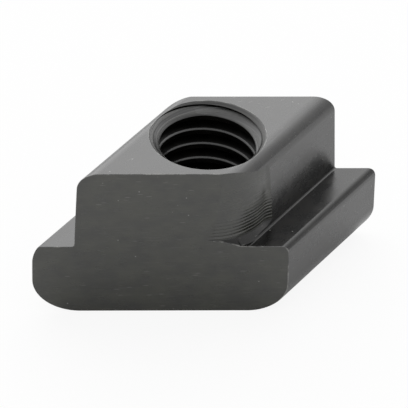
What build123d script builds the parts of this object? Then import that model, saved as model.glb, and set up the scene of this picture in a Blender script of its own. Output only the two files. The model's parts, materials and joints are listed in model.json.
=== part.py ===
from build123d import *
from math import asin, cos, degrees, radians, sin, tan
import os

# Rhombus T-slot nut for a 10 mm slot, tapped M8, made as one piece of steel.
#
# Millimetres. +X runs along the slot, +Y across it and +Z up, out of the slot. The origin is on
# the thread's axis, in the plane of the base. The nut is sawn off a T-shaped bar at a slant, so
# its plan is a parallelogram that drops into the slot and jams when it is turned. The two blunt
# corners of the stem are milled round so that it can turn, and the two sharp ones are the stops.

# T-shaped bar
base_width = 14.75
ledge_height = 5.7
nut_height = 12.0
stem_width = 9.94           # where the stem meets the ledges
stem_draft = 1.6            # lean of each side of the stem, in degrees
stem_top_radius = 1.25
ledge_fillet = 0.3          # in the corner between stem and ledge
shoulder_radius = 3.0       # of the arc that draws the base in below its ledges
shoulder_drop = 1.4         # height of that arc
base_top_radius = 0.25      # on the ledge's outer edge
base_bottom_radius = 2.5

# Slanting ends
end_spacing = 9.36          # from end face to end face, square to them
end_angle = 54.7            # from the slot's direction to the end faces, in degrees

# Milled corners of the stem, cut by an end mill that swings about the thread's axis
mill_radius = 2.0
relief_floor = 0.37         # height of the mill's end above the ledge
relief_foot = 0.22          # 45 degree chamfer on the mill's end
relief_run_in = 0.01        # how far the milled wall clears the end face where it starts
relief_top_radius = 4.76    # of the milled wall at the top of the nut

# Tapped hole, M8 x 1.25, with its thread left as a plain bore at the tapping size
tapping_diameter = 6.8
countersink_diameter = 8.3

# Worked out from the sizes above
stem_top_width = stem_width - 2 * (nut_height - ledge_height) * tan(radians(stem_draft))
countersink_depth = (countersink_diameter - tapping_diameter) / 2
relief_root_radius = end_spacing / 2 + relief_run_in
bar_length = (end_spacing + base_width * cos(radians(end_angle))) / sin(radians(end_angle))
past_surface = 1.0          # how far a cutting shape reaches past what it cuts


def bar_section():
    """T-shaped section of the bar, with its four kinds of corner rounded."""
    shoulder = CenterArc(
        (base_width / 2 - shoulder_radius, ledge_height - shoulder_drop),
        shoulder_radius,
        0,
        degrees(asin(shoulder_drop / shoulder_radius)),
    )
    below = Polyline((0, 0), (base_width / 2, 0), shoulder @ 0)
    above = Polyline(
        shoulder @ 1, (stem_width / 2, ledge_height), (stem_top_width / 2, nut_height), (0, nut_height)
    )
    half = below + shoulder + above
    section = make_face(half + mirror(half, about=Plane.YZ))
    for corner, radius in (
        ((base_width / 2, 0), base_bottom_radius),
        (shoulder @ 1, base_top_radius),
        ((stem_width / 2, ledge_height), ledge_fillet),
        ((stem_top_width / 2, nut_height), stem_top_radius),
    ):
        right = Vector(corner)
        left = Vector(-right.X, right.Y)
        corners = [section.vertices().sort_by_distance(place)[0] for place in (left, right)]
        section = fillet(corners, radius)
    return section


def slanted_bar():
    """Length of the bar between the two slanting end faces."""
    bar = extrude(Plane.YZ * bar_section(), amount=bar_length / 2 + past_surface, both=True)
    between_ends = Box(
        bar_length + base_width,
        end_spacing,
        nut_height + 2 * past_surface,
        align=(Align.CENTER, Align.CENTER, Align.MIN),
    )
    return bar & (Pos(0, 0, -past_surface) * Rot(0, 0, -end_angle) * between_ends)


def corner_relief():
    """What the end mill takes off one blunt corner of the stem.

    It swings from the middle of the end face to the side, where its own round ends the cut.
    """
    axis_radius = relief_root_radius + mill_radius
    floor = ledge_height + relief_floor
    root = floor + relief_foot
    flare = (relief_top_radius - relief_root_radius) / (nut_height - root)
    tool_top = nut_height + past_surface
    half_mill = Polygon(
        (relief_root_radius + relief_foot, floor),
        (axis_radius, floor),
        (axis_radius, tool_top),
        (relief_top_radius + flare * past_surface, tool_top),
        (relief_root_radius, root),
        align=None,
    )
    swing = revolve(Plane.XZ * half_mill, axis=Axis.Z, revolution_arc=end_angle)
    mill = revolve(Plane.XZ * half_mill, axis=Axis((axis_radius, 0, 0), (0, 0, 1)))
    return Rot(0, 0, -90 - end_angle) * swing + Rot(0, 0, -90) * mill


def tapped_hole():
    """Through bore at the tapping size, countersunk at 90 degrees at both ends."""
    mouth_radius = countersink_diameter / 2 + past_surface
    section = Polygon(
        (0, -past_surface),
        (mouth_radius, -past_surface),
        (tapping_diameter / 2, countersink_depth),
        (tapping_diameter / 2, nut_height - countersink_depth),
        (mouth_radius, nut_height + past_surface),
        (0, nut_height + past_surface),
        align=None,
    )
    return revolve(Plane.XZ * section, axis=Axis.Z)


def t_slot_nut():
    nut = slanted_bar()
    relief = corner_relief()
    for turn in (0, 180):
        nut -= Rot(0, 0, turn) * relief
    return nut - tapped_hole()


os.makedirs("parts", exist_ok=True)
export_step(t_slot_nut(), "parts/t_slot_nut.step")
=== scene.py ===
import json
from math import asin, cos, pi, radians, sin, sqrt, tan

import bmesh
import bpy
from mathutils import Matrix, Vector


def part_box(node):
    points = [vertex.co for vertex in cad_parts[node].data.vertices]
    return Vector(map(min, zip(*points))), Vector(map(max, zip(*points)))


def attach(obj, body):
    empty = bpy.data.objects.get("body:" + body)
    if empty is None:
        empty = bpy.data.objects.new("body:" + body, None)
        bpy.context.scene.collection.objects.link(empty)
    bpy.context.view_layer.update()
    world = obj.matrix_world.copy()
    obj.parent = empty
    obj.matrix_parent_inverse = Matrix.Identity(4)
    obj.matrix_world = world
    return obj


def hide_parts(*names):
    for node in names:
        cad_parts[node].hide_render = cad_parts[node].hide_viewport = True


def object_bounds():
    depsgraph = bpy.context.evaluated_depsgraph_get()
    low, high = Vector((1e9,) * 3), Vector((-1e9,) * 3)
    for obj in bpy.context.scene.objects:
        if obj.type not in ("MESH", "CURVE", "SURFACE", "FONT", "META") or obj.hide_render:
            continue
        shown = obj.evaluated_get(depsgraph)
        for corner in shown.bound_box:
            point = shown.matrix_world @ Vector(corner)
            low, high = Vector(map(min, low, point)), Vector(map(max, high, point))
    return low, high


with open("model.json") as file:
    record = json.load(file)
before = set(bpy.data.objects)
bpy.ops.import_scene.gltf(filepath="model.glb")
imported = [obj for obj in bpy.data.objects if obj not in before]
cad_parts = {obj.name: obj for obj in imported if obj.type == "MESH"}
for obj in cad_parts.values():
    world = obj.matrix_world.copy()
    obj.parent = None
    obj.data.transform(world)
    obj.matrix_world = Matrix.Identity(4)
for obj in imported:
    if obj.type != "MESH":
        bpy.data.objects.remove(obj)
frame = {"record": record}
cad_low, cad_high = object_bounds()

MM = 0.001

# Sizes that the frame gives
bar_low, bar_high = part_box("t_slot_nut")
mounts = {mount["name"]: mount for mount in frame["record"]["mounts"]}
base_width = bar_high.y - bar_low.y
nut_height = bar_high.z
nut_length = bar_high.x - bar_low.x
ledge_height = mounts["ledge_right"]["pos_m"][2]
bore_radius = mounts["thread"]["dims"]["r_mm"] * MM
bore_length = mounts["thread"]["dims"]["length_mm"] * MM

# Sizes of the bar and its cut ends
stem_width = 9.94 * MM
stem_draft = radians(1.6)
stem_top_radius = 1.25 * MM
ledge_fillet = 0.15 * MM
right, left = -1, 1             # the two sides of the bar, and where they lie along Y
shoulder_radius = {right: 1.2 * MM, left: 3.0 * MM}
shoulder_drop = {right: 0.7 * MM, left: 1.4 * MM}
base_top_radius = {right: 0.45 * MM, left: 0.25 * MM}
base_bottom_radius = {right: 2.3 * MM, left: 2.8 * MM}
end_angle = radians(54.7)
end_normal = Vector((sin(end_angle), cos(end_angle), 0))
end_spacing = nut_length * sin(end_angle) - base_width * cos(end_angle)
edge_break = 0.05 * MM          # on the sawn ends
edge_knee = 0.3                 # share of it at which the two flats of the rounding meet
merge_distance = 0.0001 * MM
overlap = 1.0 * MM              # how far a cutting shape reaches past what it cuts

# Sizes of the milled corners
mill_width = 2.0 * MM           # reaches past the corner it takes off
mill_corner_radius = 1.2 * MM   # of the wall it leaves where it stops
mill_overrun = radians(2.1)     # how far it swings past the side before it stops
relief_floor = ledge_height + 0.02 * MM
relief_foot_width = 0.52 * MM   # of the slope between the floor and the wall
relief_foot_height = 0.46 * MM
relief_root_radius = end_spacing / 2 + 0.01 * MM
relief_top_radius = 4.76 * MM
feed_step = 0.28 * MM           # from one tool mark to the next
feed_marks = 10
first_feed_mark = 0.3 * feed_step   # from the wall's foot up to it
feed_mark_half_width = feed_step / 7
feed_mark_depth = 0.025 * MM    # of the lowest one, and less with each one above

# Sizes of the tapped hole
countersink_depth = (nut_height - bore_length) / 2
pitch = 1.25 * MM
flank_angle = radians(30)
groove_radius = 4.03 * MM
groove_half_root = pitch / 16   # half the width of its floor
groove_half_mouth = 0.51 * MM   # half its width where it opens
groove_start = 0.33 * MM        # height of the middle of the groove above +X
groove_overlap = 0.04 * MM      # how far its cutter reaches into the open bore
groove_mouth = 0.3 * MM         # how far a countersink's finish goes on into it
crest_break = 0.03 * MM         # depth of the chamfer along the crest's edges
crest_highlight_width = 0.12 * MM   # of the crest's edges, made lighter as a painted highlight
rim_break = 0.03 * MM           # on the countersinks' rims
burr_width = 0.05 * MM          # under the milled corners
around = 128                    # steps in a full turn of the hole
crease_angle = radians(30)      # edges sharper than this stay sharp


# ---------------------------------------------------------------- editing

def edit(piece):
    """Starts editing one piece, with nothing selected in it."""
    bpy.ops.object.select_all(action="DESELECT")
    bpy.context.view_layer.objects.active = piece
    piece.select_set(True)
    bpy.ops.object.mode_set(mode="EDIT")
    bpy.ops.mesh.select_all(action="DESELECT")


def done():
    bpy.ops.object.mode_set(mode="OBJECT")


def pick(kind, test):
    """Selects only the verts, edges or faces that pass the test."""
    bpy.ops.mesh.select_mode(type={"verts": "VERT", "edges": "EDGE", "faces": "FACE"}[kind])
    bpy.ops.mesh.select_all(action="DESELECT")
    mesh = bmesh.from_edit_mesh(bpy.context.object.data)
    mesh.normal_update()
    for part in getattr(mesh, kind):
        if test(part):
            part.select_set(True)
    mesh.select_flush_mode()
    bmesh.update_edit_mesh(bpy.context.object.data)


def near(value, target, slack=0.002 * MM):
    return abs(value - target) < slack


def select_everything():
    bpy.ops.mesh.select_all(action="SELECT")


def slice_at(co, normal, **more):
    """Cuts what is selected along a plane."""
    bpy.ops.mesh.bisect(plane_co=co, plane_no=normal, threshold=merge_distance, **more)


def slice_whole(co, normal, **more):
    select_everything()
    slice_at(co, normal, **more)


def name_piece(name, materials):
    """Names the piece just added, fixes its place in its mesh and gives it its materials."""
    piece = bpy.context.object
    piece.name = name
    piece.data.name = name
    bpy.ops.object.transform_apply(location=True, rotation=True, scale=True)
    for material in materials:
        piece.data.materials.append(material)
    return piece


def square_profile(name, inner, outer, low, high, material):
    """A flat rectangle in the XZ plane, to be shaped and turned about Z."""
    bpy.ops.mesh.primitive_plane_add(
        size=1,
        location=((inner + outer) / 2, 0, (low + high) / 2),
        rotation=(pi / 2, 0, 0),
    )
    piece = bpy.context.object
    piece.scale = (outer - inner, high - low, 1)
    return name_piece(name, [material])


def outward(piece):
    """Merges what coincides and turns every face outwards."""
    edit(piece)
    select_everything()
    bpy.ops.mesh.remove_doubles(threshold=merge_distance)
    bpy.ops.mesh.normals_make_consistent(inside=False)
    done()


def finish_with(material):
    """Gives the selected faces a material that the piece already has."""
    piece = bpy.context.object
    piece.active_material_index = piece.data.materials.find(material.name)
    bpy.ops.object.material_slot_assign()


def cut_away(piece, cutter):
    """Takes the cutter's shape out of the piece and removes the cutter."""
    bpy.ops.object.select_all(action="DESELECT")
    bpy.context.view_layer.objects.active = piece
    piece.select_set(True)
    modifier = piece.modifiers.new("cut", "BOOLEAN")
    modifier.object = cutter
    modifier.operation = "DIFFERENCE"
    modifier.solver = "MANIFOLD"
    modifier.material_mode = "TRANSFER"
    bpy.ops.object.modifier_apply(modifier=modifier.name)
    bpy.data.objects.remove(cutter)


# ---------------------------------------------------------------- materials

bare_steel = (0.2, 0.2, 0.19)       # where a speck or a scratch is through the black
gloss = 1.9                         # index of refraction of the clean black surface


def add(tree, kind, inputs, output=0, **settings):
    """Adds a node and returns one output; its inputs are numbers or other nodes' outputs."""
    node = tree.nodes.new(kind)
    for name, value in settings.items():
        setattr(node, name, value)
    for name, value in inputs.items():
        if isinstance(value, bpy.types.NodeSocket):
            tree.links.new(value, node.inputs[name])
        else:
            node.inputs[name].default_value = value
    return node.outputs[output]


def grain(tree, per_mm, turn=0.0):
    """The piece's own coordinates, turned about Z, in repeats of a texture along each axis."""
    place = add(tree, "ShaderNodeTexCoord", {}, "Object")
    turned = add(
        tree, "ShaderNodeVectorRotate", {"Vector": place, "Angle": turn}, rotation_type="Z_AXIS"
    )
    scale = [repeats / MM for repeats in per_mm]
    return add(tree, "ShaderNodeVectorMath", {0: turned, 1: scale}, operation="MULTIPLY")


def cloud(tree, per_mm, turn=0.0, detail=2.0):
    """Soft noise from 0 to 1."""
    where = grain(tree, per_mm, turn)
    return add(tree, "ShaderNodeTexNoise", {"Vector": where, "Scale": 1.0, "Detail": detail}, "Fac")


def level(tree, value, low, high, to_low=0.0, to_high=1.0):
    """Stretches one range of values over another and holds it at the ends."""
    return add(tree, "ShaderNodeMapRange", {0: value, 1: low, 2: high, 3: to_low, 4: to_high})


def maths(tree, operation, one, other):
    return add(tree, "ShaderNodeMath", {0: one, 1: other}, operation=operation)


def blend(tree, share, colour, other):
    """Goes from one colour to another as the share goes from 0 to 1."""
    if not isinstance(colour, bpy.types.NodeSocket):
        colour = (*colour, 1)
    return add(
        tree, "ShaderNodeMix", {0: share, 6: colour, 7: (*other, 1)}, 2, data_type="RGBA"
    )


def flecks(tree, per_mm, size, how_many, turn=0.0):
    """Scattered spots, as long and as wide as their grain; how_many is a share from 0 to 1."""
    where = grain(tree, per_mm, turn)
    spots = {"Vector": where, "Scale": 1.0}
    distance = add(tree, "ShaderNodeTexVoronoi", spots, "Distance")
    chance = add(tree, "ShaderNodeTexVoronoi", spots, "Color")
    spot = level(tree, distance, size * 0.5, size, 1.0, 0.0)
    kept = maths(tree, "LESS_THAN", chance, how_many)
    return maths(tree, "MULTIPLY", spot, kept)


def finish(name, ior=gloss):
    """Starts a blackened steel surface; returns the material, its node tree and its shader."""
    material = bpy.data.materials.new(name)
    material.use_nodes = True
    tree = material.node_tree
    shader = tree.nodes["Principled BSDF"]
    shader.inputs["IOR"].default_value = ior
    return material, tree, shader


def dress(tree, shader, colour, roughness, *layers):
    """Colours a surface and raises it by layers of (pattern from 0 to 1, micrometres)."""
    tree.links.new(colour, shader.inputs["Base Color"])
    tree.links.new(roughness, shader.inputs["Roughness"])
    height = 0.0
    for pattern, micrometres in layers:
        height = add(
            tree, "ShaderNodeMath", {0: pattern, 1: micrometres, 2: height},
            operation="MULTIPLY_ADD",
        )
    bump = add(tree, "ShaderNodeBump", {"Height": height, "Distance": 0.001 * MM}, "Normal")
    tree.links.new(bump, shader.inputs["Normal"])


def drawn_finish(name, ior):
    """Smooth bar surface: long faint drawing lines, slight waves, a few scratches and specks."""
    material, tree, shader = finish(name, ior)
    waves = cloud(tree, (0.35, 0.7, 0.7))
    lines = cloud(tree, (0.15, 3.0, 3.0))
    mottle = cloud(tree, (1.0, 1.3, 1.3))
    scratches = maths(
        tree, "MAXIMUM",
        flecks(tree, (0.45, 5.0, 5.0), size=0.14, how_many=0.45, turn=radians(24)),
        flecks(tree, (4.0, 0.5, 4.0), size=0.12, how_many=0.3, turn=radians(-12)),
    )
    specks = flecks(tree, (1.1, 1.1, 1.1), size=0.07, how_many=0.8)
    colour = blend(
        tree, level(tree, mottle, 0.4, 0.7), (0.0018, 0.0018, 0.0016), (0.0085, 0.0078, 0.0062)
    )
    marked = maths(tree, "MAXIMUM", maths(tree, "MULTIPLY", scratches, 0.5), specks)
    colour = blend(tree, marked, colour, bare_steel)
    roughness = level(tree, mottle, 0.3, 0.7, 0.25, 0.31)
    dress(
        tree, shader, colour, roughness,
        (waves, 20.0), (lines, 0.4), (scratches, -2.0), (specks, 3.0),
    )
    return material


def sawn_finish():
    """End face: fine level saw lines of uneven depth, a brown-green cast and bright specks."""
    material, tree, shader = finish("black_oxide_sawn", ior=1.83)
    along_end = end_angle           # turns the grain's first axis along the end face
    fine = cloud(tree, (0.6, 3.0, 7.0), along_end, detail=3.0)
    coarse = cloud(tree, (0.12, 0.5, 1.6), along_end)
    mottle = cloud(tree, (0.7, 0.7, 1.1), along_end, detail=4.0)
    nicks = flecks(tree, (0.6, 4.0, 4.0), size=0.16, how_many=0.4, turn=along_end)
    specks = flecks(tree, (1.0, 1.0, 1.0), size=0.06, how_many=0.7)
    colour = blend(
        tree, level(tree, mottle, 0.35, 0.65), (0.004, 0.0045, 0.0005), (0.018, 0.019, 0.0095)
    )
    lined = maths(
        tree, "MAXIMUM",
        level(tree, fine, 0.56, 0.72, 0.0, 0.08),
        maths(tree, "MULTIPLY", nicks, 0.3),
    )
    colour = blend(tree, maths(tree, "MAXIMUM", lined, specks), colour, bare_steel)
    dress(
        tree, shader, colour, level(tree, fine, 0.3, 0.7, 0.26, 0.36),
        (coarse, 14.0), (fine, 4.5), (mottle, 18.0), (nicks, -3.0), (specks, 3.0),
    )
    return material


def milled_finish():
    """Wall of the milled corners: level tool lines and a little smear."""
    material, tree, shader = finish("black_oxide_milled", ior=1.84)
    lines = cloud(tree, (0.3, 0.3, 7.0), detail=3.0)
    mottle = cloud(tree, (1.1, 1.1, 1.1), detail=4.0)
    colour = blend(
        tree, level(tree, mottle, 0.35, 0.7), (0.004, 0.0045, 0.001), (0.016, 0.017, 0.0095)
    )
    roughness = level(tree, lines, 0.3, 0.7, 0.25, 0.34)
    dress(tree, shader, colour, roughness, (lines, 1.2), (mottle, 3.0))
    return material


def countersunk_finish():
    """Countersink: fine rings left by the tool, some of them dark with oil."""
    material, tree, shader = finish("black_oxide_countersunk")
    rings = level(tree, cloud(tree, (0.05, 0.05, 6.0), detail=3.0), 0.44, 0.56)
    mottle = cloud(tree, (1.5, 1.5, 2.5), detail=3.0)
    colour = blend(tree, rings, (0.002, 0.002, 0.0018), (0.04, 0.04, 0.037))
    roughness = level(tree, rings, 0.0, 1.0, 0.3, 0.45)
    dress(tree, shader, colour, roughness, (rings, 12.0), (mottle, 8.0))
    return material


def thread_finish(name, colour, light, roughness, ior):
    """Dark thread surface streaked along its turns, used for the bore's painted shade and the
    crest's painted highlight.
    """
    material, tree, shader = finish(name, ior)
    smear = cloud(tree, (0.8, 0.8, 3.0), detail=3.0)
    tinted = blend(tree, level(tree, smear, 0.4, 0.7), colour, light)
    streaked = level(tree, smear, 0.3, 0.7, roughness - 0.04, roughness + 0.08)
    dress(tree, shader, tinted, streaked, (smear, 3.0))
    return material


def worn_finish():
    """Edges where the black has rubbed thin, brighter in some places than in others."""
    material, tree, shader = finish("black_oxide_worn")
    rub = cloud(tree, (1.2, 1.2, 1.2), detail=3.0)
    colour = blend(
        tree, level(tree, rub, 0.46, 0.62), (0.006, 0.006, 0.005), (0.18, 0.18, 0.17)
    )
    dress(tree, shader, colour, level(tree, rub, 0.4, 0.65, 0.26, 0.38), (rub, 3.0))
    return material


drawn = drawn_finish("black_oxide_drawn", ior=gloss)
# A less reflective copy of the drawn finish: painted shade on the right ledge and the mill-cut feet
drawn_in_shade = drawn_finish("black_oxide_oiled", ior=1.6)
sawn = sawn_finish()
worn = worn_finish()
milled = milled_finish()
countersunk = countersunk_finish()
# Less reflective thread surface: painted shade in the bore
thread_in_shade = thread_finish(
    "oily_thread", (0.002, 0.002, 0.0016), (0.006, 0.0055, 0.004), roughness=0.3, ior=1.3
)
# Lighter crest edges: a painted highlight along the thread
thread_edge = thread_finish(
    "thread_edge", (0.004, 0.004, 0.0037), (0.03, 0.03, 0.028), roughness=0.25, ior=gloss
)
finishes = [drawn, drawn_in_shade, sawn, worn, milled, countersunk, thread_in_shade, thread_edge]


# ---------------------------------------------------------------- the nut

def draw_in_shoulders():
    """Draws each side of the base in, along its own arc, over the height just below its ledge."""
    steps = 12
    rounded_from = ledge_height - 0.7 * max(base_top_radius.values())   # by the edge above
    heights = set()
    for side in (right, left):
        for step in range(steps):
            z = ledge_height - shoulder_drop[side] * (1 - step / steps)
            if z < rounded_from:
                heights.add(z)
    for z in sorted(heights):
        slice_whole((0, 0, z), (0, 0, 1))
    heights.add(ledge_height)
    for side in (right, left):
        for z in sorted(heights):
            rise = z - (ledge_height - shoulder_drop[side])
            if rise > 0:
                pick("verts", lambda v: near(v.co.y, side * base_width / 2) and near(v.co.z, z))
                bpy.ops.transform.translate(value=(0, -side * draw_in(side, rise), 0))


def draw_in(side, rise):
    """How far an arc leans in at a height above its start."""
    return shoulder_radius[side] - sqrt(shoulder_radius[side] ** 2 - rise ** 2)


def t_bar():
    """A length of T-shaped bar, rounded along its corners and cut at a slant at both ends."""
    bpy.ops.object.select_all(action="DESELECT")
    bpy.ops.mesh.primitive_cube_add(size=1, location=(0, 0, ledge_height / 2))
    bpy.context.object.scale = (nut_length + 2 * overlap, base_width, ledge_height)
    bar = name_piece("slot_nut", finishes)
    stem_top_width = stem_width - 2 * (nut_height - ledge_height) * tan(stem_draft)
    edit(bar)
    draw_in_shoulders()
    for side in (right, left):
        pick("faces", lambda face: face.normal.z > 0.9)
        slice_at((0, side * stem_width / 2, 0), (0, 1, 0))
    pick("faces", lambda face: face.normal.z > 0.9 and near(face.calc_center_median().y, 0))
    bpy.ops.mesh.extrude_region_move(
        TRANSFORM_OT_translate={"value": (0, 0, nut_height - ledge_height)}
    )
    bpy.ops.transform.resize(
        value=(1, stem_top_width / stem_width, 1), center_override=(0, 0, nut_height)
    )
    for side in (right, left):
        shoulder_turn = asin(shoulder_drop[side] / shoulder_radius[side])
        for y, z, offset, steps in (
            (base_width / 2, 0, base_bottom_radius[side], 24),
            (
                base_width / 2 - draw_in(side, shoulder_drop[side]),
                ledge_height,
                base_top_radius[side] * tan((pi / 2 - shoulder_turn) / 2),
                8,
            ),
            (stem_width / 2, ledge_height, ledge_fillet, 10),
            (stem_top_width / 2, nut_height, stem_top_radius, 24),
        ):
            pick(
                "edges",
                lambda edge: abs(edge.verts[0].co.x - edge.verts[1].co.x) > nut_length
                and all(near(v.co.y, side * y) and near(v.co.z, z) for v in edge.verts),
            )
            bpy.ops.mesh.bevel(offset=offset, segments=steps, affect="EDGES", clamp_overlap=False)
    for end in (-1, 1):
        slice_whole(
            end * end_normal * end_spacing / 2, end * end_normal, use_fill=True, clear_outer=True
        )
    for end in (-1, 1):
        break_end_edges(end)
    done()
    return bar


def break_end_edges(end):
    """Gives one sawn end its face and a small rounding all round it."""
    def on_end(v):
        return near(v.co.dot(end * end_normal), end_spacing / 2)

    pick("faces", lambda face: face.normal.dot(end * end_normal) > 0.99)
    finish_with(worn)
    for share in (edge_knee, 1 - edge_knee):
        bpy.ops.mesh.inset(thickness=share * edge_break)
    finish_with(sawn)
    for share in (1, edge_knee):
        pick(
            "verts",
            lambda v: on_end(v) and any(not on_end(edge.other_vert(v)) for edge in v.link_edges),
        )
        back = share * edge_break / sin(end_angle)
        bpy.ops.transform.translate(value=(-end * back, 0, 0))


def mill_profile(name, width):
    """The cut's section from its wall outwards, on the +X side of the thread."""
    low = relief_floor
    root = relief_floor + relief_foot_height
    top = nut_height + overlap
    flare = (relief_top_radius - relief_root_radius) / (nut_height - root)
    profile = square_profile(
        name, relief_root_radius, relief_root_radius + width, low, top, milled
    )
    edit(profile)
    slice_whole((0, 0, root), (0, 0, 1))
    pick("verts", lambda v: near(v.co.x, relief_root_radius) and near(v.co.z, low))
    bpy.ops.transform.translate(value=(relief_foot_width, 0, 0))
    pick("verts", lambda v: near(v.co.x, relief_root_radius) and near(v.co.z, top))
    bpy.ops.transform.translate(value=(flare * (top - root), 0, 0))
    for mark in range(feed_marks):
        middle = root + first_feed_mark + mark * feed_step
        for z in (middle - feed_mark_half_width, middle, middle + feed_mark_half_width):
            slice_whole((0, 0, z), (0, 0, 1))
        depth = feed_mark_depth * (1 - mark / feed_marks)
        pick(
            "verts",
            lambda v: near(v.co.z, middle) and v.co.x < relief_root_radius + width / 2,
        )
        bpy.ops.transform.translate(value=(-depth, 0, 0))
    done()
    return profile


def swing_cutter():
    """The mill's way from the middle of the end face round to the side."""
    cutter = mill_profile("swing_cutter", mill_width)
    edit(cutter)
    select_everything()
    bpy.ops.mesh.spin(
        steps=52, angle=end_angle + mill_overrun, center=(0, 0, 0), axis=(0, 0, -1)
    )
    done()
    outward(cutter)
    turn_about_z(cutter, -pi / 2 - end_angle)
    return cutter


def mill_cutter():
    """The round that the mill leaves where it stops against the side."""
    cutter = mill_profile("mill_cutter", mill_corner_radius)
    axis_x = relief_root_radius + mill_corner_radius
    edit(cutter)
    pick("edges", lambda edge: len(edge.link_faces) == 2)
    bpy.ops.mesh.dissolve_edges(use_verts=False)
    select_everything()
    bpy.ops.mesh.delete(type="ONLY_FACE")
    pick("edges", lambda edge: all(near(v.co.x, axis_x) for v in edge.verts))
    bpy.ops.mesh.delete(type="EDGE")
    select_everything()
    bpy.ops.mesh.spin(steps=96, angle=2 * pi, center=(axis_x, 0, 0), axis=(0, 0, 1))
    done()
    outward(cutter)
    turn_about_z(cutter, mill_overrun - pi / 2)
    return cutter


def turn_about_z(piece, angle):
    bpy.ops.object.select_all(action="DESELECT")
    bpy.context.view_layer.objects.active = piece
    piece.select_set(True)
    piece.rotation_euler.z = angle
    bpy.ops.object.transform_apply(location=False, rotation=True, scale=False)


def hole_cutter():
    """The bore at its tapping size, with a countersink at each end."""
    bpy.ops.object.select_all(action="DESELECT")
    bpy.ops.mesh.primitive_cylinder_add(
        vertices=around, radius=bore_radius, depth=bore_length, location=(0, 0, nut_height / 2)
    )
    cutter = name_piece("hole_cutter", [thread_in_shade, countersunk])
    flare = (bore_radius + countersink_depth + overlap) / bore_radius
    edit(cutter)
    for side in (-1, 1):
        pick("faces", lambda face: face.normal.z * side > 0.9)
        bpy.ops.mesh.extrude_region_move(
            TRANSFORM_OT_translate={"value": (0, 0, side * (countersink_depth + overlap))}
        )
        bpy.ops.transform.resize(
            value=(flare, flare, 1), center_override=(0, 0, nut_height / 2)
        )
    pick("faces", lambda face: 0.1 < abs(face.normal.z) < 0.9)
    finish_with(countersunk)
    done()
    outward(cutter)
    return cutter


def thread_cutter():
    """The V-shaped groove of the thread, one coil from below the nut to above it."""
    inner_radius = bore_radius - groove_overlap
    flank_start = bore_radius + crest_break
    edge_radius = bore_radius + crest_highlight_width
    start = groove_start - 2 * pitch
    turns = int((nut_height - start) / pitch) + 2
    cutter = square_profile(
        "thread_cutter", inner_radius, groove_radius,
        start - groove_half_mouth, start + groove_half_mouth, thread_in_shade,
    )
    cutter.data.materials.append(thread_edge)
    edit(cutter)
    slice_whole((flank_start, 0, 0), (1, 0, 0))
    flank_rise = (groove_radius - flank_start) * tan(flank_angle)
    for radius, half_width in (
        (groove_radius, groove_half_root),
        (flank_start, groove_half_root + flank_rise),
    ):
        pick("verts", lambda v: near(v.co.x, radius))
        bpy.ops.transform.resize(
            value=(1, 1, half_width / groove_half_mouth), center_override=(0, 0, start)
        )
    slice_whole((edge_radius, 0, 0), (1, 0, 0))
    bpy.ops.mesh.select_mode(type="FACE")
    select_everything()
    bpy.ops.mesh.dissolve_faces()
    bpy.ops.mesh.delete(type="ONLY_FACE")
    done()
    screw = cutter.modifiers.new("screw", "SCREW")
    screw.angle = 2 * pi
    screw.screw_offset = pitch
    screw.iterations = turns
    screw.steps = around
    screw.render_steps = around
    screw.use_smooth_shade = False
    bpy.ops.object.modifier_apply(modifier=screw.name)
    edit(cutter)
    for end_z in (start, start + turns * pitch):
        pick(
            "edges",
            lambda edge: edge.is_boundary
            and all(near(v.co.z, end_z, pitch / 2) for v in edge.verts),
        )
        bpy.ops.mesh.edge_face_add()
    # The crest's edges get the painted highlight
    pick("faces", lambda face: face.calc_center_median().xy.length < edge_radius)
    finish_with(thread_edge)
    done()
    outward(cutter)
    return cutter


def meets(edge, one, other):
    """Whether an edge lies between two finishes."""
    found = {bpy.context.object.data.materials[face.material_index] for face in edge.link_faces}
    return found == {one, other}


def open_grooves(nut):
    """Gives the part of the groove that opens into a countersink the countersink's finish."""
    depth = countersink_depth + groove_mouth
    edit(nut)
    for side, mouth in ((-1, 0), (1, nut_height)):
        pick(
            "faces",
            lambda face: face.material_index == finishes.index(thread_in_shade)
            and side * face.normal.z > 0.1
            and side * (mouth - face.calc_center_median().z) < depth,
        )
        finish_with(countersunk)
    done()


def shade_ledge(nut):
    """Paints shade on the right ledge, its corner and each mill cut's foot, with a duller drawn
    finish.
    """
    def on_ledge(face):
        middle = face.calc_center_median()
        flat = face.normal.z > 0.99 and near(middle.z, ledge_height)
        corner = near(middle.z, ledge_height, ledge_fillet) and near(
            right * middle.y, stem_width / 2, ledge_fillet
        )
        outer = near(middle.z, ledge_height, base_top_radius[right]) and near(
            right * middle.y, base_width / 2, 2 * base_top_radius[right]
        )
        return face.material_index == finishes.index(drawn) and right * middle.y > 0 and (
            flat or (corner and face.normal.z > 0.1) or (outer and face.normal.z > 0.3)
        )

    edit(nut)
    pick("faces", on_ledge)
    finish_with(drawn_in_shade)
    pick(
        "faces",
        lambda face: face.material_index == finishes.index(milled)
        and face.calc_center_median().z < relief_floor + relief_foot_height
        and face.normal.z > 0.3,
    )
    finish_with(drawn_in_shade)
    done()


def break_rims(nut):
    """Breaks the edges round the countersinks and under the milled corners."""
    def on_rim(edge):
        return meets(edge, drawn, countersunk)

    def under_mill_cut(edge):
        return meets(edge, sawn, drawn_in_shade) and all(
            v.co.z < relief_floor + relief_foot_height for v in edge.verts
        )

    edit(nut)
    for test, width in ((on_rim, rim_break), (under_mill_cut, burr_width)):
        pick("edges", test)
        bpy.ops.mesh.bevel(
            offset=width, segments=2, affect="EDGES", material=finishes.index(worn)
        )
    done()


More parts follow.
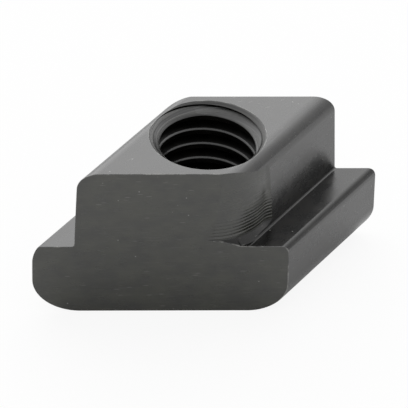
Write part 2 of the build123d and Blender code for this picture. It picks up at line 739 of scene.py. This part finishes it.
def smooth(nut):
    """Shades the rounded parts smoothly and keeps the low part of each milled cut crisp."""
    merges_above = relief_floor + relief_foot_height + feed_marks * feed_step
    edit(nut)
    pick(
        "edges",
        lambda edge: any(meets(edge, milled, other) for other in (drawn, sawn))
        and edge.verts[0].co.z < merges_above,
    )
    bpy.ops.mesh.mark_sharp()
    done()
    bpy.ops.object.select_all(action="DESELECT")
    nut.select_set(True)
    bpy.ops.object.shade_smooth_by_angle(angle=crease_angle)
    weigh = nut.modifiers.new("weigh", "WEIGHTED_NORMAL")
    weigh.keep_sharp = True
    bpy.ops.object.modifier_apply(modifier=weigh.name)


def slot_nut():
    nut = t_bar()
    for turn in (0, pi):
        for cutter in (swing_cutter(), mill_cutter()):
            turn_about_z(cutter, turn)
            cut_away(nut, cutter)
    cut_away(nut, hole_cutter())
    cut_away(nut, thread_cutter())
    open_grooves(nut)
    shade_ledge(nut)
    break_rims(nut)
    smooth(nut)
    return nut


nut = slot_nut()
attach(nut, "root")
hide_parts("t_slot_nut")


# ---------------------------------------------------------------- floor, light and camera

def pale_floor():
    """A pale floor that catches the nut's shadow and is nearly white where it is seen."""
    width = 2.0                         # in metres
    gap = 0.01 * MM                     # below the nut
    paint = (0.85, 0.85, 0.85, 1)
    white_in_mirror = 0.12              # share of plain white that a reflection of it shows
    added_in_view = 0.78                # and what the camera sees on top of that
    bpy.ops.object.select_all(action="DESELECT")
    bpy.ops.mesh.primitive_plane_add(size=width, location=(0, 0, cad_low.z - gap))
    floor = bpy.context.object
    floor.name = "floor"
    material = bpy.data.materials.new("pale_floor")
    material.use_nodes = True
    tree = material.node_tree
    shader = tree.nodes["Principled BSDF"]
    shader.inputs["Base Color"].default_value = paint
    shader.inputs["Roughness"].default_value = 0.9
    shader.inputs["Specular IOR Level"].default_value = 0.0
    white = add(tree, "ShaderNodeEmission", {"Strength": 1.0})
    to_camera = add(tree, "ShaderNodeLightPath", {}, "Is Camera Ray")
    mirrored = add(tree, "ShaderNodeLightPath", {}, "Is Glossy Ray")
    seen_through = add(tree, "ShaderNodeLightPath", {}, "Is Transmission Ray")
    seen = maths(tree, "MAXIMUM", maths(tree, "MAXIMUM", to_camera, mirrored), seen_through)
    white_share = add(
        tree, "ShaderNodeMath",
        {0: to_camera, 1: added_in_view, 2: maths(tree, "MULTIPLY", seen, white_in_mirror)},
        operation="MULTIPLY_ADD",
    )
    surface = add(tree, "ShaderNodeMixShader", {0: white_share, 1: shader.outputs[0], 2: white})
    tree.links.new(surface, tree.nodes["Material Output"].inputs["Surface"])
    floor.data.materials.append(material)


def studio_light():
    """Light from all round, rising evenly towards a broad soft panel high up behind the nut."""
    azimuth = radians(123)
    elevation = radians(38)
    dimmest = 0.45
    rise = 0.9                          # from there to the middle of the panel
    panel = 0.95                        # what the panel adds
    panel_edge = (0.55, 0.95)           # where it starts and is full, as cosines from its middle
    world = bpy.data.worlds.new("studio")
    bpy.context.scene.world = world
    world.use_nodes = True
    tree = world.node_tree
    direction = add(tree, "ShaderNodeTexCoord", {}, "Generated")
    middle = (sin(azimuth) * cos(elevation), -cos(azimuth) * cos(elevation), sin(elevation))
    facing = add(
        tree, "ShaderNodeVectorMath", {0: direction, 1: middle}, "Value", operation="DOT_PRODUCT"
    )
    soft_panel = add(
        tree, "ShaderNodeMapRange",
        {0: facing, 1: panel_edge[0], 2: panel_edge[1], 3: 0.0, 4: panel},
        interpolation_type="SMOOTHSTEP",
    )
    strength = maths(
        tree, "ADD", level(tree, facing, 0.0, 1.0, dimmest, dimmest + rise), soft_panel
    )
    seen = add(tree, "ShaderNodeLightPath", {}, "Is Camera Ray")
    shown = add(tree, "ShaderNodeMix", {"Factor": seen, "A": strength, "B": 1.0}, "Result")
    background = tree.nodes["Background"]
    background.inputs["Color"].default_value = (1, 1, 1, 1)
    tree.links.new(shown, background.inputs["Strength"])


def camera():
    """A long lens, looking down on the nut with one sawn end nearly square to it."""
    azimuth = radians(-2.28) - end_angle
    elevation = radians(36.6)
    roll = radians(1.28)
    distance = 320 * MM
    shift_across = -0.15 * MM
    shift_up = -0.04 * MM
    toward = Vector((
        sin(azimuth) * cos(elevation), -cos(azimuth) * cos(elevation), sin(elevation)
    ))
    level_across = Vector((cos(azimuth), sin(azimuth), 0))
    level_up = toward.cross(level_across)
    across = level_across * cos(roll) + level_up * sin(roll)
    up = level_up * cos(roll) - level_across * sin(roll)
    place = Vector((0, 0, nut_height / 2)) + toward * distance
    place += across * shift_across + up * shift_up
    data = bpy.data.cameras.new("camera")
    data.sensor_width = 36
    data.lens = 398
    data.clip_start = 0.01
    viewer = bpy.data.objects.new("camera", data)
    viewer.matrix_world = Matrix((
        (across.x, up.x, toward.x, place.x),
        (across.y, up.y, toward.y, place.y),
        (across.z, up.z, toward.z, place.z),
        (0, 0, 0, 1),
    ))
    bpy.context.scene.collection.objects.link(viewer)
    bpy.context.scene.camera = viewer


pale_floor()
studio_light()
camera()
bpy.context.scene.view_settings.view_transform = "Standard"
